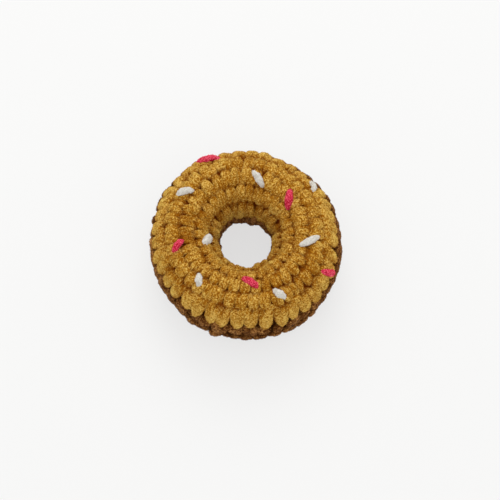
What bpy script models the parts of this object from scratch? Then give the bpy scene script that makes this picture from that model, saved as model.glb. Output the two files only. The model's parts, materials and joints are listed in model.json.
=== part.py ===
"""A crocheted toy doughnut, lying face up: a stuffed ring worked in thick velvet yarn.

The gold upper part is the icing, with short pink and white stitches on it as sprinkles, and the brown lower
part is the base. Each is a solid outline turned round the Z axis, and its surface rises and falls with the
rounds of stitches. The origin is under the middle of the hole, on the plane that the toy rests on.

A place on the ring is given by two angles: the azimuth round the Z axis from +X, and the section angle about
the middle of the stuffed ring, which is 0 on the outer side, 90 degrees on the crown and 180 in the hole.
"""

import math

import bmesh
import bpy
import numpy as np
from mathutils import Matrix, Vector

# The ring over the tops of its stitches, in metres: an upright ellipse carried round the Z axis
RING_RADIUS = 0.0306
SECTION_HALF_WIDTH = 0.0176
SECTION_HALF_HEIGHT = 0.0217
PRESSED_FLAT = 0.0014
MIDDLE_HEIGHT = SECTION_HALF_HEIGHT - PRESSED_FLAT

# Handwork leaves the ring a little oval: share of the radius, and the azimuth of its long side
OVAL_SHARE = 0.012
OVAL_AZIMUTH = math.radians(-50)

# Stitches in each round, counted from the seam over the crown into the hole and back underneath
ICING_ROUNDS = (40, 40, 36, 30, 24)
BASE_ROUNDS = (24, 26, 30, 36, 40, 40, 40, 40)
ALL_ROUNDS = ICING_ROUNDS + BASE_ROUNDS
ROUND_SWEEP = 2 * math.pi / len(ALL_ROUNDS)
CREASE_DEPTH = 0.0016
DIP_SHARE = 0.6
BACK_BREADTH = 0.6

# The seam between the colours, where each gold stitch hangs over the brown as one scallop
SEAM_ANGLE = math.radians(31)
SCALLOP_ANGLE = math.radians(6)
SEAM_GAP = 0.0003

# Columns of faces round the ring, and rows of them in each round
COLUMNS = 160
ROWS_PER_ROUND = 3

# Each sprinkle is one stitch of thin yarn: colour, azimuth and section angle in degrees where it comes out
# and where it goes back in, and its width in metres
SPRINKLES = (
    ("pink", (122, 36), (108, 51), 0.0040),
    ("white", (151, 63), (141, 86), 0.0042),
    ("white", (84, 88), (68, 112), 0.0044),
    ("white", (42, 44), (32, 50), 0.0040),
    ("pink", (42, 90), (27, 116), 0.0044),
    ("white", (-17, 103), (-4, 71), 0.0040),
    ("pink", (-28, 56), (-22.5, 34), 0.0040),
    ("white", (-66, 86), (-59, 62), 0.0038),
    ("pink", (-94, 113), (-76, 90), 0.0042),
    ("white", (-136, 88), (-127, 69), 0.0038),
    ("pink", (-162, 67), (-172, 91), 0.0038),
    ("white", (-161, 118), (-180, 140), 0.0044),
)
SPRINKLE_RISE = 0.0016
SPRINKLE_SIDES = 6
SPRINKLE_BANDS = 4

# Colours of the yarns, in linear values
YARN_ROUGHNESS = 0.95
ICING_GOLD = (0.48, 0.235, 0.035)
BASE_BROWN = (0.17, 0.075, 0.024)
SPRINKLE_COLOURS = {"pink": (0.70, 0.03, 0.10), "white": (0.72, 0.69, 0.62)}


def section_place(angle, sunk=0.0):
    """Radius and height of the ellipse at a section angle, moved in by sunk along its normal."""
    across, upward = np.cos(angle), np.sin(angle)
    normal = np.stack([across / SECTION_HALF_WIDTH, upward / SECTION_HALF_HEIGHT])
    normal /= np.hypot(normal[0], normal[1])
    radius = RING_RADIUS + SECTION_HALF_WIDTH * across - sunk * normal[0]
    height = MIDDLE_HEIGHT + SECTION_HALF_HEIGHT * upward - sunk * normal[1]
    return radius, height


def oval(azimuth):
    """The ring's size in one direction, as a share: 1 and a cosine of twice the azimuth."""
    return 1 + OVAL_SHARE * np.cos(2 * (azimuth - OVAL_AZIMUTH))


def ring_place(azimuth, angle):
    """The point over the stitch tops at an azimuth and a section angle."""
    radius, height = section_place(angle)
    radius = radius * oval(azimuth)
    return Vector((radius * math.cos(azimuth), radius * math.sin(azimuth), height))


def stitch_phase(azimuth, stitches, row):
    """Place within a stitch, from 0 to 1, each round half a stitch on from the one before."""
    return np.mod(azimuth / (2 * math.pi) * stitches + 0.5 * row, 1.0)


def crease(azimuth, turn):
    """Depth of the surface below the stitch tops, with turn counted in rounds from the seam.

    Across a round the surface is a power of a sine, broad on the back and deep in the crease. Along the round
    it dips between two stitches as a sine does.
    """
    row = np.minimum(np.floor(turn + 1e-4), len(ALL_ROUNDS) - 1).astype(int)
    across = np.clip(turn - row, 0, 1)
    back = np.sin(math.pi * across).clip(0) ** BACK_BREADTH
    along = np.sin(math.pi * stitch_phase(azimuth, np.take(ALL_ROUNDS, row), row))
    return CREASE_DEPTH * (1 - back * (1 - DIP_SHARE * (1 - along)))


def scallop(azimuth, turn):
    """Shift of the section angle by the seam's scallops: a cosine that fades out over one round each way."""
    away = np.minimum(turn, len(ALL_ROUNDS) - turn)
    wave = np.cos(2 * math.pi * stitch_phase(azimuth, ICING_ROUNDS[0], 0))
    return SCALLOP_ANGLE * wave * (1 - away).clip(0)


def turned(name, outline, collection):
    """A closed outline at +X, turned round the Z axis."""
    mesh = bpy.data.meshes.new(name)
    corners = [(radius, 0.0, height) for radius, height in outline]
    mesh.from_pydata(corners, [(i, (i + 1) % len(corners)) for i in range(len(corners))], [])
    made = bpy.data.objects.new(name, mesh)
    collection.objects.link(made)
    screw = made.modifiers.new("Turn", "SCREW")
    screw.angle = 2 * math.pi
    screw.steps = COLUMNS
    screw.render_steps = COLUMNS
    screw.use_merge_vertices = True
    screw.merge_threshold = 0.00001
    keep_result(made)
    return made


def keep_result(made):
    """Replaces the mesh of an object by what its modifiers make of it."""
    graph = bpy.context.evaluated_depsgraph_get()
    mesh = bpy.data.meshes.new_from_object(made.evaluated_get(graph))
    made.modifiers.clear()
    made.data = mesh


def work_stitches(made, lowered):
    """Sinks the creases into a turned body, presses its underside flat and lowers its parting face."""
    mesh = made.data
    points = np.empty(len(mesh.vertices) * 3)
    mesh.vertices.foreach_get("co", points)
    x, y, z = points.reshape(-1, 3).T
    azimuth, radius = np.arctan2(y, x), np.hypot(x, y)
    across = (radius - RING_RADIUS) / SECTION_HALF_WIDTH
    upward = (z - MIDDLE_HEIGHT) / SECTION_HALF_HEIGHT
    turn = np.mod((np.arctan2(upward, across) - SEAM_ANGLE) / ROUND_SWEEP, len(ALL_ROUNDS))
    turn = np.round(turn * ROWS_PER_ROUND) / ROWS_PER_ROUND
    turn = np.where(turn > len(ALL_ROUNDS) - 0.01, 0.0, turn)
    seam = (turn < 0.01) | (np.abs(turn - len(ICING_ROUNDS)) < 0.01)
    angle = SEAM_ANGLE + turn * ROUND_SWEEP + scallop(azimuth, turn)
    pressed = section_place(angle)[1] <= 0
    sunk = np.where(pressed, 0.0, crease(azimuth, turn))
    radius, height = section_place(angle, sunk)
    radius *= oval(azimuth)
    height = height.clip(0) - lowered * seam
    moved = np.stack([radius * np.cos(azimuth), radius * np.sin(azimuth), height], axis=1)
    mesh.vertices.foreach_set("co", moved.ravel())
    triangulate(mesh)


def triangulate(mesh):
    """Splits the faces along their shorter diagonals, so that facing surfaces split alike."""
    work = bmesh.new()
    work.from_mesh(mesh)
    bmesh.ops.triangulate(work, faces=work.faces[:], quad_method="SHORT_EDGE")
    bmesh.ops.recalc_face_normals(work, faces=work.faces[:])
    work.to_mesh(mesh)
    work.free()
    mesh.update()


def half_ring(name, first_round, last_round, lowered, collection):
    """The body between two rounds: its outside, running down the outer side, and a face through the ring."""
    steps = range(last_round * ROWS_PER_ROUND, first_round * ROWS_PER_ROUND - 1, -1)
    outline = [section_place(SEAM_ANGLE + step * ROUND_SWEEP / ROWS_PER_ROUND) for step in steps]
    made = turned(name, outline, collection)
    work_stitches(made, lowered)
    return made


def sprinkle(name, colour, start, end, width, collection):
    """A spindle between two places on the icing, pointed where its yarn goes in."""
    first, last = (ring_place(math.radians(a), math.radians(b)) for a, b in (start, end))
    azimuth, angle = ((math.radians(a + b) / 2) for a, b in zip(start, end))
    middle = ring_place(azimuth, angle)
    across, upward = math.cos(angle) / SECTION_HALF_WIDTH, math.sin(angle) / SECTION_HALF_HEIGHT
    normal = Vector((across * math.cos(azimuth), across * math.sin(azimuth), upward)).normalized()
    lengthwise = (last - first).normalized()
    sideways = normal.cross(lengthwise).normalized()
    upright = lengthwise.cross(sideways)
    work = bmesh.new()
    bmesh.ops.create_uvsphere(work, u_segments=SPRINKLE_SIDES, v_segments=SPRINKLE_BANDS, radius=1)
    mesh = bpy.data.meshes.new(name)
    work.to_mesh(mesh)
    work.free()
    chord = (first + last) / 2
    lift = (middle - chord).dot(upright) + SPRINKLE_RISE
    axes = Matrix((upright * lift, sideways * width / 2, lengthwise * (last - first).length / 2)).transposed()
    mesh.transform(Matrix.Translation(chord) @ axes.to_4x4())
    triangulate(mesh)
    mesh.materials.append(bpy.data.materials[colour])
    made = bpy.data.objects.new(name, mesh)
    collection.objects.link(made)
    return made


def fuse(made, collection):
    """Joins a collection's objects to one body, then removes them."""
    union = made.modifiers.new("Fuse", "BOOLEAN")
    union.operation = "UNION"
    union.operand_type = "COLLECTION"
    union.collection = collection
    union.material_mode = "TRANSFER"
    keep_result(made)
    for loose in list(collection.objects):
        bpy.data.objects.remove(loose)
    bpy.data.collections.remove(collection)


def material(name, colour):
    """A matt yarn of one colour."""
    made = bpy.data.materials.new(name)
    made.use_nodes = True
    shader = made.node_tree.nodes["Principled BSDF"]
    shader.inputs["Base Color"].default_value = (*colour, 1)
    shader.inputs["Roughness"].default_value = YARN_ROUGHNESS
    shader.inputs["Metallic"].default_value = 0
    return made


def new_collection(name):
    made = bpy.data.collections.new(name)
    bpy.context.scene.collection.children.link(made)
    return made


def main():
    for old in list(bpy.data.objects):
        bpy.data.objects.remove(old, do_unlink=True)
    parts = new_collection("toy_doughnut")
    stitched_on = new_collection("sprinkles")
    for name, colour in SPRINKLE_COLOURS.items():
        material(name, colour)
    icing = half_ring("icing", 0, len(ICING_ROUNDS), 0.0, parts)
    icing.data.materials.append(material("icing", ICING_GOLD))
    base = half_ring("base", len(ICING_ROUNDS), len(ALL_ROUNDS), SEAM_GAP, parts)
    base.data.materials.append(material("base", BASE_BROWN))
    for number, (colour, start, end, width) in enumerate(SPRINKLES):
        sprinkle(f"sprinkle_{number}", colour, start, end, width, stitched_on)
    fuse(icing, stitched_on)
    for body in (icing, base):
        body.data.shade_smooth()


main()
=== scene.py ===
"""A crocheted toy doughnut in thick velvet yarn, worked stitch by stitch over its solid frame.

A place on the ring is an azimuth round the Z axis from +X and a section angle about the middle of the stuffed
ring, 0 on the outer side, 90 degrees on the crown and 180 in the hole. Lengths are in metres. The rounds of
stitches run from the hole over the crown and down the outer side, then underneath and back to the hole.
"""

import json
import math

import bpy
import numpy as np
from mathutils import Matrix, Vector

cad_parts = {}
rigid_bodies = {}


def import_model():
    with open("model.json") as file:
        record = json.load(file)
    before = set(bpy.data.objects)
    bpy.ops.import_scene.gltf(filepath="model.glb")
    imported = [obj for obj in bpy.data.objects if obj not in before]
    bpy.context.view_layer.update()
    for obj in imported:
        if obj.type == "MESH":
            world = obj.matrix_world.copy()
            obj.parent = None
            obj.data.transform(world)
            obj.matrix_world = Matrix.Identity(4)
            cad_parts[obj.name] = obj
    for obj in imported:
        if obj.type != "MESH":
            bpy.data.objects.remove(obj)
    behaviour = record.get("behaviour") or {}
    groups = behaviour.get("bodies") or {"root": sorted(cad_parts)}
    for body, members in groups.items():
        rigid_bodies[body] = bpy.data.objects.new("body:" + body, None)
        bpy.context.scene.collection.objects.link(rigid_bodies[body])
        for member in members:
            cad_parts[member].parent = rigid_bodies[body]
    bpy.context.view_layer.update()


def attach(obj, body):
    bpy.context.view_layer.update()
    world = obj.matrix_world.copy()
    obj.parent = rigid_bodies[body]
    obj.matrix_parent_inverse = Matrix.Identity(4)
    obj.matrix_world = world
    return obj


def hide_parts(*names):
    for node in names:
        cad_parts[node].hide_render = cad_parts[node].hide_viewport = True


for old in list(bpy.data.objects):
    bpy.data.objects.remove(old, do_unlink=True)
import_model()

# The ring over its stitch tops, as the frame has it
RING_RADIUS = 0.0306
SECTION_HALF_WIDTH = 0.0176
SECTION_HALF_HEIGHT = 0.0217
MIDDLE_HEIGHT = 0.0203
SECTION_MEAN = (SECTION_HALF_WIDTH + SECTION_HALF_HEIGHT) / 2
OVAL_SHARE = 0.012
OVAL_AZIMUTH = math.radians(-50)

# Handwork leaves lumps all round: height, waves round the ring, waves round the section, and phase
LUMPS = (
    (0.00030, 3, 1, 0.7),
    (0.00025, 7, 2, 2.9),
    (0.00020, 11, -3, 4.4),
)

# Stitches in each round, in the order of the work
ICING_ROUNDS = (24, 30, 36, 40, 40)
BASE_ROUNDS = (40, 40, 40, 40, 36, 30, 26, 24)
ALL_ROUNDS = ICING_ROUNDS + BASE_ROUNDS
ROUND_SWEEP = 2 * math.pi / len(ALL_ROUNDS)
START_ANGLE = math.radians(31) + len(ICING_ROUNDS) * ROUND_SWEEP

# Where the seam between gold and brown runs: azimuth and how far it lies above its level, in degrees
SEAM_SHIFTS = (
    (-168, -3.5), (-150, -5), (-128, 0), (-90, 0), (-62, -6), (-36, -9.5),
    (-4, 5.5), (14, 5), (32, 1), (60, 0), (92, -7), (150, -5),
)
SEAM_SPREAD = 2.4
CORE_SEAM = 4.80

# A stitch's two legs: reaches in rounds, lean and distance from its middle in stitches, dips in metres
FOOT_REACH = 0.05
ARM_REACH = 1.06
SCALLOP_FOOT_REACH = 0.00
SCALLOP_REACH = 1.21
FIRST_GOLD_REACH = -0.30
FIRST_BROWN_REACH = 0.00
LEAN = -0.22
INNER_APART = 0.19
OUTER_APART = 0.15
SCALLOP_APART = 0.19
APART_SPREAD = 0.02
TURN_SHARPNESS = 4
SCALLOP_TURN_SHARPNESS = 2
FOOT_DIP = 0.0017
SCALLOP_FOOT_DIP = 0.0010
FIRST_BROWN_DIP = 0.0032
ARM_DIP = 0.0017
SCALLOP_DIP = -0.0004
INNER_DIP_SHARE = 0.46
END_SHARPNESS = 6
END_THICKNESS = 0.93
ARM_TAPER = 0.22
ARM_TAPER_START = 0.4
SCALLOP_TAPER = 0.44
BASE_TAPER = 0.10
SCALLOP_TAPER_START = 0.62
# The scallop tips of the last gold round are painted lighter, a painted highlight on the colour ramp
SCALLOP_PAINTED_HIGHLIGHT = 0.70
YARN_HALF_WIDTH = 0.0028
BASE_HALF_WIDTH = 0.0026
YARN_HALF_HEIGHT = 0.0022
YARN_SQUARENESS = 0.80
LEG_EASE = 0.6

# Legs at CROWDED_SPACING from one to the next are crowded, and those OPENING_SPAN further apart are open
CROWDED_SPACING = 0.0019
OPENING_SPAN = 0.0015

# The yarn's half width is at most a share of that spacing and a margin
SPACING_SHARE = 0.45
SPACING_MARGIN = 0.0010

# How much stitches differ: places in rounds, turns in stitches, dips and bulges in metres, the rest as shares
PLACE_SPREAD = 0.06
SCALLOP_SPREAD = 0.09
TURN_SPREAD = 0.08
DIP_SPREAD = 0.00030
BULGE_SPREAD = 0.00025
SIZE_SPREAD = 0.08
SIZE_LIMITS = (0.84, 1.16)
STITCH_TONE = 0.20

# The share of their spreads in place and dip that crowded stitches keep
CROWDED_STEADINESS = 0.4

# The grid that carries a strand: its step in metres, and its sides, which crowd towards the outside
STRAND_STEP = 0.00046
STRAND_SIDES = 24
STEPS_ALONG_LEG = 40
OUTWARD_CROWDING = 0.4
NAP = (
    # Length of a cell along the yarn, cells round it, height
    (0.00260, 4, 0.00012),
    (0.00110, 9, 0.00011),
    (0.00060, 14, 0.00008),
)

# The pile: tufts rooted at random over part of the strand's lap, not too deep and not on the table
TUFTS_PER_SQUARE_METRE = 3.3e6
TUFT_LENGTH = (0.00025, 0.00055)
TUFT_RADIUS = (0.00014, 0.00026)
TUFT_ROOT = 0.00010
TUFT_LEAN = 0.6
TUFT_DEEPEST = 0.0015
TUFT_LOWEST = 0.0008
TUFTED_LAP = (0.17, 0.83)
TUFT_SHADES = (-0.5, 0.5)
# A tuft's roots take painted shade and its tip a painted highlight, as places on the colour ramp
ROOT_PAINTED_SHADE = -0.4
TIP_PAINTED_HIGHLIGHT = 0.6

# Below this height the yarn is pressed flat by the table
PRESSED_HEIGHT = 0.0010

# The stuffed cover under the stitches
CORE_SUNK = 0.0023
CORE_ROWS = 48
CORE_COLUMNS = 240

# The size of a fleck in the pile, along the yarn and round it, and how far apart the rounds' grains lie
FLECK = (0.00044, 0.00070)
GRAIN_GAP = 10

# The flecks: their noise's scale, detail and roughness, and the values between which it counts
FLECK_NOISE = (1.0, 3.0, 0.65)
FLECK_RANGE = (0.38, 0.62)

# The wrinkles: their noise's scale, detail and roughness, the value they lie at, half width and painted shade
WRINKLE_NOISE = (0.25, 1.0, 0.5)
WRINKLE_MIDDLE = 0.5
WRINKLE_WIDTH = 0.05
WRINKLE_PAINTED_SHADE = 0.36

# The bumps of flecks and wrinkles, each with its strength and its distance in metres
FLECK_BUMP = (0.5, 0.0003)
WRINKLE_BUMP = (0.6, 0.0006)

# Depths below the stitch tops over which the painted crease shade comes in and the sheen fades
PAINTED_CREASE_SHADE_DEPTHS = (0.0005, 0.0020)
SHEEN_DEPTHS = (-0.0003, 0.0009)

# How velvet takes the light
VELVET_ROUGHNESS = 0.95
VELVET_SPECULAR = 0.03
SHEEN_ROUGHNESS = 0.5

# How a sprinkle's stitch arches, tapers and twists
SPRINKLE_RINGS = 44
SPRINKLE_SIDES = 24
SPRINKLE_SUNK = 0.0022
SPRINKLE_ARCH = 0.0024
ARCH_FULLNESS = 0.6
SPRINKLE_TIP = 0.25
SPRINKLE_FULLNESS = 0.7
SPRINKLE_HEIGHT_SHARE = 0.85
SPRINKLE_PLIES = 3
PLY_TWIST = 0.8
PLY_SHARPNESS = 6
PLY_DEPTH = 0.00012
SPRINKLE_NAP = (
    # Cells along the stitch, cells round it, height
    (9, 6, 0.00020),
    (22, 12, 0.00012),
)
SPRINKLE_NAP_HEIGHT = 0.0004

# The sprinkles: colour, azimuth and section angle of both ends in degrees, and width in metres
SPRINKLES = (
    ("pink", (125, 34), (106.5, 51), 0.0042),
    ("white", (151, 60), (140.5, 84.5), 0.0038),
    ("white", (84.5, 88), (69, 111), 0.0035),
    ("white", (41.5, 41.5), (32, 57), 0.0032),
    ("pink", (45, 89), (29, 116), 0.0040),
    ("white", (-17.5, 104), (-3.0, 69.5), 0.0034),
    ("pink", (-28.5, 54.5), (-22, 21), 0.0036),
    ("white", (-66, 84), (-59.5, 62), 0.0036),
    ("pink", (-94, 117), (-76, 93), 0.0038),
    ("white", (-135, 87.5), (-126, 69.5), 0.0034),
    ("pink", (-161.5, 67), (-171.5, 91), 0.0031),
    ("white", (-161, 121), (-180.5, 143), 0.0042),
)


def lumps(azimuth, angle):
    """Height of the handwork's lumps at a place: a sum of sines that close round the ring and the section."""
    return sum(height * np.sin(a * azimuth + b * angle + phase) for height, a, b, phase in LUMPS)


def section_place(angle, sunk=0.0):
    """Radius, height and outward normal on the section's ellipse at an angle, moved in by sunk."""
    across, upward = np.cos(angle), np.sin(angle)
    normal = np.stack([across / SECTION_HALF_WIDTH, upward / SECTION_HALF_HEIGHT])
    normal = normal / np.hypot(normal[0], normal[1])
    radius = RING_RADIUS + SECTION_HALF_WIDTH * across - sunk * normal[0]
    height = MIDDLE_HEIGHT + SECTION_HALF_HEIGHT * upward - sunk * normal[1]
    return radius, height, normal


def oval(azimuth):
    """The ring's size in one direction, as a share: 1 and a cosine of twice the azimuth."""
    return 1 + OVAL_SHARE * np.cos(2 * (azimuth - OVAL_AZIMUTH))


def ring_places(azimuth, angle, sunk=0.0):
    """Points and outward normals at azimuths and section angles, sunk below the stitch tops."""
    radius, height, normal = section_place(angle, sunk - lumps(azimuth, angle))
    radius = radius * oval(azimuth)
    turned = np.cos(azimuth), np.sin(azimuth)
    points = np.stack([radius * turned[0], radius * turned[1], height], axis=-1)
    normals = np.stack([normal[0] * turned[0], normal[0] * turned[1], normal[1]], axis=-1)
    return points, normals


def depth_below(points):
    """How far points lie below the stitch tops, by the section's ellipse scaled down through them."""
    azimuth = np.arctan2(points[..., 1], points[..., 0])
    across = (np.hypot(points[..., 0], points[..., 1]) / oval(azimuth) - RING_RADIUS) / SECTION_HALF_WIDTH
    upward = (points[..., 2] - MIDDLE_HEIGHT) / SECTION_HALF_HEIGHT
    return (1 - np.hypot(across, upward)) * SECTION_MEAN + lumps(azimuth, np.arctan2(upward, across))


def pressed(heights):
    """Heights above the table, with those under PRESSED_HEIGHT eased towards 0 by an exponential."""
    low = np.minimum(heights, PRESSED_HEIGHT)
    return np.where(heights < PRESSED_HEIGHT, PRESSED_HEIGHT * np.exp(low / PRESSED_HEIGHT - 1), heights)


def smooth(share):
    """A share eased at both ends: three of its squares less two of its cubes."""
    return share * share * (3 - 2 * share)


def mixed(a, b, share):
    """The value that lies a share of the way from a to b."""
    return a + (b - a) * share


def unit(vectors):
    """Vectors over their lengths."""
    return vectors / np.linalg.norm(vectors, axis=-1, keepdims=True)


def repeating_noise(rng, x, y, along, around):
    """Random heights from -1 to 1 on a grid of cells that repeats, eased between its points both ways."""
    table = rng.uniform(-1, 1, (along, around))
    i, j = np.floor(x).astype(int), np.floor(y).astype(int)
    u, v = smooth(x - i), smooth(y - j)
    low = mixed(table[i % along, j % around], table[(i + 1) % along, j % around], u)
    high = mixed(table[i % along, (j + 1) % around], table[(i + 1) % along, (j + 1) % around], u)
    return mixed(low, high, v)


def seam_shift(azimuth):
    """How far the seam lies above its level at an azimuth, in radians, eased between SEAM_SHIFTS."""
    places = np.radians([place for place, _ in SEAM_SHIFTS])
    shifts = np.radians([shift for _, shift in SEAM_SHIFTS])
    gaps = np.diff(places, append=places[0] + 2 * math.pi)
    turned = (azimuth - places[0]) % (2 * math.pi)
    which = np.searchsorted(places - places[0], turned, side="right") - 1
    share = smooth((turned - (places[which] - places[0])) / gaps[which])
    return mixed(shifts[which], shifts[(which + 1) % len(shifts)], share)


def round_angle(place, azimuth):
    """The section angle of a place counted in rounds: even steps that follow the seam where they are near."""
    near = np.exp(-((place - len(ICING_ROUNDS)) / SEAM_SPREAD) ** 2)
    return START_ANGLE - place * ROUND_SWEEP + near * seam_shift(azimuth)


def tube_block(points, nap_and_painted_light, grain, closed):
    """A grid of points as a smooth tube, closed round its columns, and along its rows or by two end caps."""
    rows, columns = points.shape[:2]
    last = rows if closed else rows - 1
    i, j = np.meshgrid(np.arange(last), np.arange(columns), indexing="ij")
    near, far = (j + 1) % columns, (i + 1) % rows
    here, there = i * columns, far * columns
    corners = np.stack([here + j, here + near, there + near, there + j], axis=-1)
    faces = [corners.reshape(-1, 4)]
    if not closed:
        faces += [np.arange(columns)[None, ::-1], (rows - 1) * columns + np.arange(columns)[None]]
    return points.reshape(-1, 3), faces, nap_and_painted_light.ravel(), grain.reshape(-1, 3), True


def new_piece(name, blocks, colour):
    """One mesh from blocks of points, faces, nap as painted light and shade, place in grain, and whether
    faces are smooth.
    """
    points = np.concatenate([block[0] for block in blocks])
    nap_and_painted_light = np.concatenate([block[2] for block in blocks])
    grain = np.concatenate([block[3] for block in blocks])
    depth = depth_below(points)
    points[:, 2] = pressed(points[:, 2])
    loops, sizes, soft = [], [], []
    offset = 0
    for block in blocks:
        for faces in block[1]:
            loops.append((faces + offset).ravel())
            sizes.append(np.full(len(faces), faces.shape[1]))
            soft.append(np.full(len(faces), block[4]))
        offset += len(block[0])
    loops, sizes, soft = (np.concatenate(part) for part in (loops, sizes, soft))
    mesh = bpy.data.meshes.new(name)
    mesh.vertices.add(len(points))
    mesh.vertices.foreach_set("co", points.astype(np.float32).ravel())
    mesh.loops.add(len(loops))
    mesh.loops.foreach_set("vertex_index", loops.astype(np.int32))
    mesh.polygons.add(len(sizes))
    mesh.polygons.foreach_set("loop_start", (np.cumsum(sizes) - sizes).astype(np.int32))
    mesh.update(calc_edges=True)
    mesh.polygons.foreach_set("use_smooth", soft)
    for key, value in (("nap_and_painted_light", nap_and_painted_light), ("depth", depth)):
        layer = mesh.attributes.new(key, "FLOAT", "POINT")
        layer.data.foreach_set("value", value.astype(np.float32))
    layer = mesh.attributes.new("grain", "FLOAT_VECTOR", "POINT")
    layer.data.foreach_set("vector", grain.astype(np.float32).ravel())
    mesh.materials.append(colour)
    made = bpy.data.objects.new(name, mesh)
    bpy.context.scene.collection.objects.link(made)
    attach(made, "root")
    return made


def strand_places(rng, number):
    """A function from a place along a round's strand to its azimuth, angle, depth, thickness, and tone with
    painted highlight.

    The strand zigzags between turning points, from the foot of a stitch out to its arm and back. Between two
    of them it eases along the round, bulges outwards as a half sine and dips at each end, and every stitch
    differs a little in place and size. The two legs that meet at an arm run side by side for most of their
    length, so that they make one plump stitch, and part only at their feet.
    """
    stitches = ALL_ROUNDS[number]
    corners = 2 * stitches
    at_arm = np.arange(corners) % 2
    middle_radius = section_place(START_ANGLE - (number + 0.5) * ROUND_SWEEP)[0]
    spacing = 2 * math.pi * middle_radius / corners
    openness = min(max((spacing - CROWDED_SPACING) / OPENING_SPAN, 0), 1)
    steady = mixed(CROWDED_STEADINESS, 1, openness)
    apart = mixed(INNER_APART, OUTER_APART, openness)
    widest = YARN_HALF_WIDTH
    arm_reach, arm_dip, arm_sharpness = ARM_REACH, ARM_DIP, TURN_SHARPNESS
    arm_spread, arm_painted_highlight = PLACE_SPREAD * steady, 0.0
    foot_reach, foot_dip = FOOT_REACH, FOOT_DIP
    taper, taper_start = ARM_TAPER, ARM_TAPER_START
    if number == 0:
        foot_reach = FIRST_GOLD_REACH
    if number == len(ICING_ROUNDS) - 1:
        apart = SCALLOP_APART
        arm_reach, arm_dip, arm_sharpness = SCALLOP_REACH, SCALLOP_DIP, SCALLOP_TURN_SHARPNESS
        arm_spread, arm_painted_highlight = SCALLOP_SPREAD, SCALLOP_PAINTED_HIGHLIGHT
        foot_reach, foot_dip = SCALLOP_FOOT_REACH, SCALLOP_FOOT_DIP
        taper, taper_start = SCALLOP_TAPER, SCALLOP_TAPER_START
    if number >= len(ICING_ROUNDS):
        widest = BASE_HALF_WIDTH
        taper = BASE_TAPER
    if number == len(ICING_ROUNDS):
        foot_reach, foot_dip = FIRST_BROWN_REACH, FIRST_BROWN_DIP
    half_width = min(widest, SPACING_SHARE * spacing + SPACING_MARGIN)
    uneven = np.where(at_arm, arm_spread, PLACE_SPREAD * steady)
    place = number + np.where(at_arm, arm_reach, foot_reach) + uneven * rng.normal(0, 1, corners)
    dip = np.where(at_arm, arm_dip, foot_dip) * mixed(INNER_DIP_SHARE, 1, openness)
    dip = dip + rng.normal(0, DIP_SPREAD * steady, corners)
    turn = np.arange(corners) / 2 + LEAN * (at_arm + number) + rng.normal(0, TURN_SPREAD, corners)
    turn = turn / stitches
    bulge = rng.normal(0, BULGE_SPREAD, corners)
    apart = np.repeat(rng.normal(apart, APART_SPREAD, stitches), 2)
    size = rng.normal(1, SIZE_SPREAD, corners).clip(*SIZE_LIMITS)
    # Each stitch's tone differs at random, and the scallop's arms add a painted highlight
    tone_and_highlight = rng.normal(0, STITCH_TONE, corners) + arm_painted_highlight * at_arm

    def at(along):
        """Each value at a place counted in legs, eased between the turning points on both sides of it.

        Along the round a leg keeps its distance from the stitch's middle, and turns by powers of its share.
        The dips at its ends are powers of a half cosine, and its bulge and its thickness follow a half sine.
        The higher the power, the shorter the turn or the end.
        """
        leg = np.floor(along).astype(int)
        share = along - leg
        here, there = leg % corners, (leg + 1) % corners
        lap = (leg + 1) // corners - leg // corners
        hump = np.sin(math.pi * share)
        outgoing = at_arm[here] == 0
        from_foot = np.where(outgoing, share, 1 - share)
        foot_share = (1 - from_foot) ** TURN_SHARPNESS
        pulled = 1 - foot_share - 2 * apart[here] * (1 - foot_share - from_foot ** arm_sharpness)
        pulled = np.where(outgoing, pulled, 1 - pulled)
        azimuth = 2 * math.pi * mixed(turn[here], turn[there] + lap, pulled)
        angle = round_angle(mixed(place[here], place[there], mixed(share, smooth(share), LEG_EASE)), azimuth)
        toward = (1 - np.cos(math.pi * share)) / 2
        ends = dip[here] * (1 - toward) ** END_SHARPNESS + dip[there] * toward ** END_SHARPNESS
        depth = YARN_HALF_HEIGHT + ends - bulge[here] * hump
        eased = smooth(share)
        thickness = mixed(size[here], size[there], eased) * mixed(END_THICKNESS, 1, hump)
        tapered = ((from_foot - taper_start) / (1 - taper_start)).clip(0, 1)
        thickness = thickness * (1 - taper * smooth(tapered))
        return azimuth, angle, depth, thickness, mixed(tone_and_highlight[here], tone_and_highlight[there], eased)

    return at, corners, half_width


def superellipse(spin, squareness):
    """Cosine and sine of an angle, each raised to a power that squares the circle a little."""
    across, upward = np.cos(spin), np.sin(spin)
    return np.sign(across) * np.abs(across) ** squareness, np.sign(upward) * np.abs(upward) ** squareness


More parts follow.
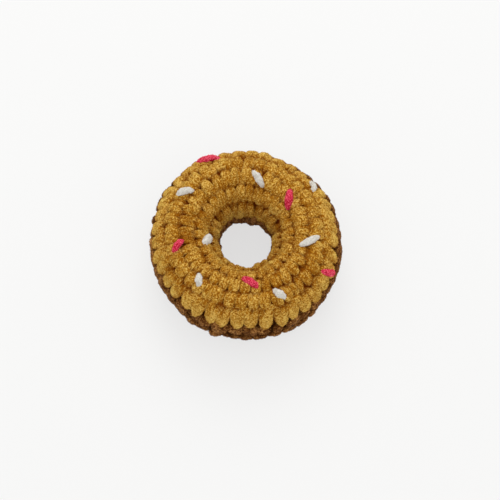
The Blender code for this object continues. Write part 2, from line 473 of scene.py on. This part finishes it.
def strand(name, rng, number, colour):
    """One round of velvet yarn: a superellipse carried along its zigzag, with its nap and its pile."""
    at, corners, half_width = strand_places(rng, number)
    fine = np.linspace(0, corners, corners * STEPS_ALONG_LEG + 1)
    azimuth, angle, depth = at(fine[:-1])[:3]
    centre = ring_places(azimuth, angle, depth)[0]
    steps = np.linalg.norm(np.roll(centre, -1, axis=0) - centre, axis=1)
    travelled = np.concatenate([[0], np.cumsum(steps)])
    length = travelled[-1]
    rings = int(round(length / STRAND_STEP))
    places = np.interp(np.arange(rings) * length / rings, travelled, fine)
    azimuth, angle, depth, thickness, tone_and_highlight = at(places)
    centre, normal = ring_places(azimuth, angle, depth)
    tangent = unit(np.roll(centre, -1, axis=0) - np.roll(centre, 1, axis=0))
    sideways = unit(np.cross(normal, tangent))
    upward = np.cross(tangent, sideways)
    lap = np.arange(STRAND_SIDES) / STRAND_SIDES
    lap = lap + OUTWARD_CROWDING / (2 * math.pi) * np.sin(2 * math.pi * lap)
    wide, high = superellipse(2 * math.pi * lap - math.pi / 2, YARN_SQUARENESS)
    spoke = sideways[:, None] * (half_width * wide)[None, :, None]
    spoke = spoke + upward[:, None] * (YARN_HALF_HEIGHT * high)[None, :, None]
    spoke = spoke * thickness[:, None, None]
    nap_and_painted_light = np.zeros((rings, STRAND_SIDES))
    for cell, around, height in NAP:
        cells = max(4, int(round(length / cell)))
        x = np.broadcast_to(np.arange(rings)[:, None] * cells / rings, nap_and_painted_light.shape)
        y = np.broadcast_to(lap[None] * around, nap_and_painted_light.shape)
        nap_and_painted_light += height * repeating_noise(rng, x, y, cells, around)
    outward = unit(spoke)
    points = centre[:, None] + spoke + outward * nap_and_painted_light[..., None]
    # The colour follows the nap's height: painted light on its bumps and painted shade in its dips, with tone
    # added
    share = (nap_and_painted_light / sum(height for _, _, height in NAP)).clip(-1, 1) + tone_and_highlight[:, None]
    grain = np.empty((rings, STRAND_SIDES, 3))
    grain[..., 0] = (np.arange(rings) * length / rings / FLECK[0])[:, None]
    grain[..., 1] = (lap * math.pi * (half_width + YARN_HALF_HEIGHT) / FLECK[1])[None]
    grain[..., 2] = GRAIN_GAP * number
    area = length * math.pi * (half_width + YARN_HALF_HEIGHT)
    tufts = tuft_block(rng, points, outward, tone_and_highlight, grain, area)
    return new_piece(name, [tube_block(points, share, grain, True), tufts], colour)


def sampled(grid, x, y):
    """Values between the points of a grid that repeats both ways, blended in straight lines."""
    rows, columns = grid.shape[:2]
    i, j = np.floor(x).astype(int), np.floor(y).astype(int)
    u, v = (x - i)[:, None], (y - j)[:, None]
    low = mixed(grid[i % rows, j % columns], grid[(i + 1) % rows, j % columns], u)
    high = mixed(grid[i % rows, (j + 1) % columns], grid[(i + 1) % rows, (j + 1) % columns], u)
    return mixed(low, high, v)


def tuft_block(rng, points, outward, tone_and_highlight, grain, area):
    """The pile on a strand: spikes with three sides, leant at random, rooted where the strand faces out."""
    rings, sides = points.shape[:2]
    count = int(TUFTS_PER_SQUARE_METRE * area * (TUFTED_LAP[1] - TUFTED_LAP[0]))
    x = rng.uniform(0, rings - 1, count)
    y = rng.uniform(*TUFTED_LAP, count) * sides
    root = sampled(points, x, y)
    normal = unit(sampled(outward, x, y))
    lean = unit(normal + TUFT_LEAN * rng.normal(0, 1, (count, 3)))
    side = unit(np.cross(normal, rng.normal(0, 1, (count, 3))))
    other = np.cross(normal, side)
    reach = rng.uniform(*TUFT_LENGTH, count)[:, None]
    radius = rng.uniform(*TUFT_RADIUS, count)[:, None]
    shade = rng.uniform(*TUFT_SHADES, count) + tone_and_highlight[np.floor(x).astype(int)]
    kept = (depth_below(root) < TUFT_DEEPEST) & (root[:, 2] > TUFT_LOWEST)
    marks = grain[np.floor(x).astype(int) % rings, np.floor(y).astype(int)]
    corners = []
    for turn in (0, 2 * math.pi / 3, 4 * math.pi / 3):
        corners.append(root - TUFT_ROOT * normal + radius * (math.cos(turn) * side + math.sin(turn) * other))
    corners.append(root + reach * lean)
    spikes = np.stack(corners, axis=1)[kept]
    # Painted shade at the three roots and a painted highlight at the tip, over the tuft's own tone
    nap_and_painted_light = np.stack([shade + ROOT_PAINTED_SHADE] * 3 + [shade + TIP_PAINTED_HIGHLIGHT], axis=1)[kept]
    marks = np.repeat(marks[kept], 4, axis=0)
    first = np.arange(len(spikes))[:, None] * 4
    faces = np.concatenate([first + np.array(face) for face in ((0, 2, 1), (0, 1, 3), (1, 2, 3), (2, 0, 3))])
    return spikes.reshape(-1, 3), [faces], nap_and_painted_light.ravel(), marks, False


def core(name, first, last, colour):
    """The stuffed cover under the stitches: the section between two rounds, closed by a face through it."""
    azimuth = np.arange(CORE_COLUMNS)[None] * 2 * math.pi / CORE_COLUMNS
    angle = round_angle(np.linspace(first, last, CORE_ROWS)[:, None], azimuth)
    points = ring_places(np.broadcast_to(azimuth, angle.shape), angle, CORE_SUNK)[0]
    # The core sits at the dark end of the ramp and lies deep, so it takes the painted crease shade: painted
    # shade in the gaps between stitches
    nap_and_painted_light = np.full(angle.shape, -1.0)
    return new_piece(name, [tube_block(points, nap_and_painted_light, points / FLECK[0], True)], colour)


def sprinkle(name, rng, start, end, width, colour):
    """A short stitch of three plies between two places, arched over the icing and pointed where it goes in.

    Its height and its width follow powers of a half sine, and its grooves a power of a cosine that twists.
    """
    share = np.linspace(0, 1, SPRINKLE_RINGS)
    hump = np.sin(math.pi * share)
    azimuth = np.radians(mixed(start[0], end[0], share))
    angle = np.radians(mixed(start[1], end[1], share))
    centre, normal = ring_places(azimuth, angle, SPRINKLE_SUNK - SPRINKLE_ARCH * hump ** ARCH_FULLNESS)
    tangent = unit(np.gradient(centre, axis=0))
    sideways = unit(np.cross(normal, tangent))
    upward = np.cross(tangent, sideways) * SPRINKLE_HEIGHT_SHARE
    spin = 2 * math.pi * np.arange(SPRINKLE_SIDES) / SPRINKLE_SIDES - math.pi / 2
    size = width / 2 * mixed(SPRINKLE_TIP, 1, hump ** SPRINKLE_FULLNESS)
    spoke = sideways[:, None] * np.cos(spin)[None, :, None] + upward[:, None] * np.sin(spin)[None, :, None]
    groove = np.abs(np.cos(SPRINKLE_PLIES / 2 * (spin[None] + PLY_TWIST * share[:, None])))
    nap_and_painted_light = -PLY_DEPTH * groove ** PLY_SHARPNESS
    for cells, around, height in SPRINKLE_NAP:
        x = np.broadcast_to(share[:, None] * (cells - 1), nap_and_painted_light.shape)
        y = np.broadcast_to(np.arange(SPRINKLE_SIDES)[None] / SPRINKLE_SIDES * around, nap_and_painted_light.shape)
        nap_and_painted_light = nap_and_painted_light + height * repeating_noise(rng, x, y, cells, around)
    points = centre[:, None] + spoke * (size[:, None] + nap_and_painted_light)[..., None]
    grain = points / FLECK[0]
    area = math.pi * width * np.linalg.norm(centre[-1] - centre[0])
    tufts = tuft_block(rng, points, unit(spoke), np.zeros(SPRINKLE_RINGS), grain, area)
    # The body's colour follows its heights: painted shade in the ply grooves and dips, painted light on the
    # raised nap
    body = tube_block(points, (nap_and_painted_light / SPRINKLE_NAP_HEIGHT).clip(-1, 1), grain, False)
    return new_piece(name, [body, tufts], colour)


def attribute_output(tree, name, output):
    """An output of the node that reads a mesh attribute."""
    made = tree.nodes.new("ShaderNodeAttribute")
    made.attribute_name = name
    return made.outputs[output]


def noise_output(tree, vector, scale, detail, roughness):
    """The value of a noise at a place."""
    made = tree.nodes.new("ShaderNodeTexNoise")
    made.inputs["Scale"].default_value = scale
    made.inputs["Detail"].default_value = detail
    made.inputs["Roughness"].default_value = roughness
    tree.links.new(vector, made.inputs["Vector"])
    return made.outputs["Fac"]


def worked_output(tree, operation, *terms):
    """What a step of arithmetic gives for its terms, each a number or another node's output."""
    made = tree.nodes.new("ShaderNodeMath")
    made.operation = operation
    for socket, term in zip(made.inputs, terms):
        if isinstance(term, float):
            socket.default_value = term
        else:
            tree.links.new(term, socket)
    return made.outputs[0]


def range_output(tree, value, before, after=(0.0, 1.0), easing="LINEAR"):
    """A value carried from one range to another and held inside it."""
    made = tree.nodes.new("ShaderNodeMapRange")
    made.interpolation_type = easing
    for name, limit in zip(("From Min", "From Max", "To Min", "To Max"), (*before, *after)):
        made.inputs[name].default_value = limit
    tree.links.new(value, made.inputs["Value"])
    return made.outputs["Result"]


def ramp_output(tree, value, stops):
    """The colour at a value on a ramp with stops of a place and a colour."""
    made = tree.nodes.new("ShaderNodeValToRGB")
    elements = made.color_ramp.elements
    for element, (place, colour) in zip(elements, (stops[0], stops[-1])):
        element.position = place
        element.color = (*colour, 1)
    for place, colour in stops[1:-1]:
        elements.new(place).color = (*colour, 1)
    tree.links.new(value, made.inputs["Fac"])
    return made.outputs["Color"]


def bump_node(tree, height, strength, distance):
    """A bump from a height, with its strength and its distance in metres."""
    made = tree.nodes.new("ShaderNodeBump")
    made.inputs["Strength"].default_value = strength
    made.inputs["Distance"].default_value = distance
    tree.links.new(height, made.inputs["Height"])
    return made


def velvet(name, stops, painted_crease_shade, sheen, contrast):
    """Velvet yarn: flecks and wrinkles that follow the grain, painted root shade, painted tip highlights,
    soft sheen.

    The place on the colour ramp is the fleck times the first contrast, centred on a half, and the nap times
    the second, less the painted shade of the wrinkles. The nap brings painted light on raised pile and tips,
    and painted shade in dips and at roots. A wrinkle lies where a wide noise crosses its middle. With depth
    the colour goes over to the painted crease shade, and the sheen, a weight and a tint, fades out.
    """
    made = bpy.data.materials.new(name)
    made.use_nodes = True
    tree = made.node_tree
    shader = tree.nodes["Principled BSDF"]
    shader.inputs["Roughness"].default_value = VELVET_ROUGHNESS
    shader.inputs["Specular IOR Level"].default_value = VELVET_SPECULAR
    shader.inputs["Sheen Roughness"].default_value = SHEEN_ROUGHNESS
    shader.inputs["Sheen Tint"].default_value = (*sheen[1], 1)
    grain = attribute_output(tree, "grain", "Vector")
    nap_and_painted_light = attribute_output(tree, "nap_and_painted_light", "Fac")
    depth = attribute_output(tree, "depth", "Fac")
    fleck = range_output(tree, noise_output(tree, grain, *FLECK_NOISE), FLECK_RANGE)
    across = worked_output(tree, "SUBTRACT", noise_output(tree, grain, *WRINKLE_NOISE), WRINKLE_MIDDLE)
    away = worked_output(tree, "ABSOLUTE", across)
    # The wrinkles darken the colour as painted shade along their fold lines, and bump the surface as well
    painted_wrinkle_shade = range_output(tree, away, (0.0, WRINKLE_WIDTH), (-WRINKLE_PAINTED_SHADE, 0.0), "SMOOTHSTEP")
    shade = worked_output(tree, "MULTIPLY_ADD", fleck, contrast[0], 0.5 - contrast[0] / 2)
    shade = worked_output(tree, "MULTIPLY_ADD", nap_and_painted_light, contrast[1], shade)
    shade = worked_output(tree, "ADD", shade, painted_wrinkle_shade)
    # Painted shade in the creases: the colour goes over to a dark one with depth below the stitch tops
    mix = tree.nodes.new("ShaderNodeMix")
    mix.data_type = "RGBA"
    mix.inputs["B"].default_value = (*painted_crease_shade, 1)
    tree.links.new(range_output(tree, depth, PAINTED_CREASE_SHADE_DEPTHS), mix.inputs["Factor"])
    tree.links.new(ramp_output(tree, shade, stops), mix.inputs["A"])
    tree.links.new(mix.outputs["Result"], shader.inputs["Base Color"])
    lit = range_output(tree, depth, SHEEN_DEPTHS, (sheen[0], 0.0))
    tree.links.new(lit, shader.inputs["Sheen Weight"])
    bump = bump_node(tree, fleck, *FLECK_BUMP)
    valley = bump_node(tree, painted_wrinkle_shade, *WRINKLE_BUMP)
    tree.links.new(bump.outputs["Normal"], valley.inputs["Normal"])
    tree.links.new(valley.outputs["Normal"], shader.inputs["Normal"])
    return made


# Each velvet: its ramp's stops, its painted crease shade, its sheen's weight and tint, and the contrasts of
# fleck and nap
GOLD = velvet(
    "gold_velvet",
    ((0.15, (0.26, 0.077, 0.001)), (0.50, (0.49, 0.210, 0.011)), (0.85, (0.76, 0.495, 0.120))),
    (0.17, 0.032, 0.001), (0.64, (0.95, 0.91, 0.25)), (0.84, 0.34),
)
BROWN = velvet(
    "brown_velvet",
    ((0.15, (0.058, 0.013, 0.001)), (0.50, (0.160, 0.050, 0.006)), (0.85, (0.48, 0.228, 0.064))),
    (0.034, 0.009, 0.001), (0.14, (1.0, 0.80, 0.50)), (0.84, 0.46),
)
PINK = velvet(
    "pink_velvet",
    ((0.15, (0.44, 0.006, 0.022)), (0.50, (0.80, 0.040, 0.105)), (0.85, (0.96, 0.190, 0.250))),
    (0.30, 0.003, 0.010), (0.08, (1.0, 0.7, 0.8)), (0.80, 0.25),
)
WHITE = velvet(
    "white_velvet",
    ((0.15, (0.60, 0.56, 0.49)), (0.50, (0.75, 0.72, 0.66)), (0.85, (0.81, 0.79, 0.74))),
    (0.50, 0.42, 0.30), (0.06, (1.0, 1.0, 1.0)), (0.45, 0.25),
)


# Each round and each sprinkle draws at random from a seed of its own
ROUND_SEED = 200
SPRINKLE_SEED = 500


def build():
    """Every round of yarn, the two cores under them and the sprinkles on top."""
    for number in range(len(ALL_ROUNDS)):
        rng = np.random.default_rng(ROUND_SEED + number)
        if number < len(ICING_ROUNDS):
            strand(f"icing_round_{number + 1}", rng, number, GOLD)
        else:
            strand(f"base_round_{number - len(ICING_ROUNDS) + 1}", rng, number, BROWN)
    icing_core = core("icing_core", 0.0, CORE_SEAM, GOLD)
    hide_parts("icing")
    base_core = core("base_core", CORE_SEAM, len(ALL_ROUNDS), BROWN)
    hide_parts("base")
    for number, (kind, start, end, width) in enumerate(SPRINKLES):
        rng = np.random.default_rng(SPRINKLE_SEED + number)
        yarn = PINK if kind == "pink" else WHITE
        sprinkle(f"sprinkle_{kind}_{number + 1}", rng, start, end, width, yarn)


build()

# The camera sees the ring's middle at OBJECT_PIXEL of the 500 by 500 picture, where a pixel is PIXEL metres
PICTURE_PIXELS = 500
OBJECT_PIXEL = (245.5, 244.3)
PIXEL = 0.0005
CAMERA_DISTANCE = 0.55
CAMERA_ELEVATION = math.radians(71.2)
SENSOR = 36.0

# The table, its softbox and the light from all round
TABLE_SPAN = 3.0
TABLE_COLOUR = (0.24, 0.24, 0.235, 1)
TABLE_ROUGHNESS = 0.9
TABLE_SPECULAR = 0.1
TABLE_GLOW = 0.67
KEY_PLACE = (0.00, 0.75, 0.80)
KEY_SIZE = 0.7
KEY_POWER = 4.3
KEY_COLOUR = (1.0, 0.99, 0.97)
ROOM_LIGHT = 0.91


def add_camera():
    """A camera on the -Y side, aimed so that the ring's middle lands on its pixel."""
    back = Vector((0, -math.cos(CAMERA_ELEVATION), math.sin(CAMERA_ELEVATION)))
    upwards = Vector((0, math.sin(CAMERA_ELEVATION), math.cos(CAMERA_ELEVATION)))
    rightwards = Vector((1, 0, 0))
    half = PICTURE_PIXELS / 2
    aim = Vector((0, 0, MIDDLE_HEIGHT))
    aim += rightwards * (half - OBJECT_PIXEL[0]) * PIXEL - upwards * (half - OBJECT_PIXEL[1]) * PIXEL
    data = bpy.data.cameras.new("camera")
    data.sensor_width = SENSOR
    data.lens = SENSOR * CAMERA_DISTANCE / (PICTURE_PIXELS * PIXEL)
    made = bpy.data.objects.new("camera", data)
    turn = Matrix((rightwards, upwards, back)).transposed().to_4x4()
    made.matrix_world = Matrix.Translation(aim + back * CAMERA_DISTANCE) @ turn
    bpy.context.scene.collection.objects.link(made)
    bpy.context.scene.camera = made


def add_floor():
    """A plain pale table that glows a little, as a light table does, so that shadows stay faint."""
    corners = [(x * TABLE_SPAN, y * TABLE_SPAN, 0) for x, y in ((-1, -1), (1, -1), (1, 1), (-1, 1))]
    mesh = bpy.data.meshes.new("floor")
    mesh.from_pydata(corners, [], [(0, 1, 2, 3)])
    surface = bpy.data.materials.new("floor")
    surface.use_nodes = True
    shader = surface.node_tree.nodes["Principled BSDF"]
    shader.inputs["Base Color"].default_value = TABLE_COLOUR
    shader.inputs["Roughness"].default_value = TABLE_ROUGHNESS
    shader.inputs["Specular IOR Level"].default_value = TABLE_SPECULAR
    shader.inputs["Emission Color"].default_value = (1, 1, 1, 1)
    shader.inputs["Emission Strength"].default_value = TABLE_GLOW
    mesh.materials.append(surface)
    made = bpy.data.objects.new("floor", mesh)
    bpy.context.scene.collection.objects.link(made)


def softbox(name, place, size, power, colour):
    """A square area light at a place, turned to the ring's middle."""
    data = bpy.data.lights.new(name, "AREA")
    data.shape = "SQUARE"
    data.size = size
    data.energy = power
    data.color = colour
    made = bpy.data.objects.new(name, data)
    made.location = place
    made.rotation_euler = (Vector(place) - Vector((0, 0, MIDDLE_HEIGHT))).to_track_quat("Z", "Y").to_euler()
    bpy.context.scene.collection.objects.link(made)


def add_studio():
    """One softbox behind and above the toy, and white light from all round."""
    softbox("key", KEY_PLACE, KEY_SIZE, KEY_POWER, KEY_COLOUR)
    world = bpy.data.worlds.new("studio")
    world.use_nodes = True
    world.node_tree.nodes["Background"].inputs["Color"].default_value = (1, 1, 1, 1)
    world.node_tree.nodes["Background"].inputs["Strength"].default_value = ROOM_LIGHT
    bpy.context.scene.world = world
    bpy.context.scene.view_settings.view_transform = "Standard"


add_camera()
add_floor()
add_studio()
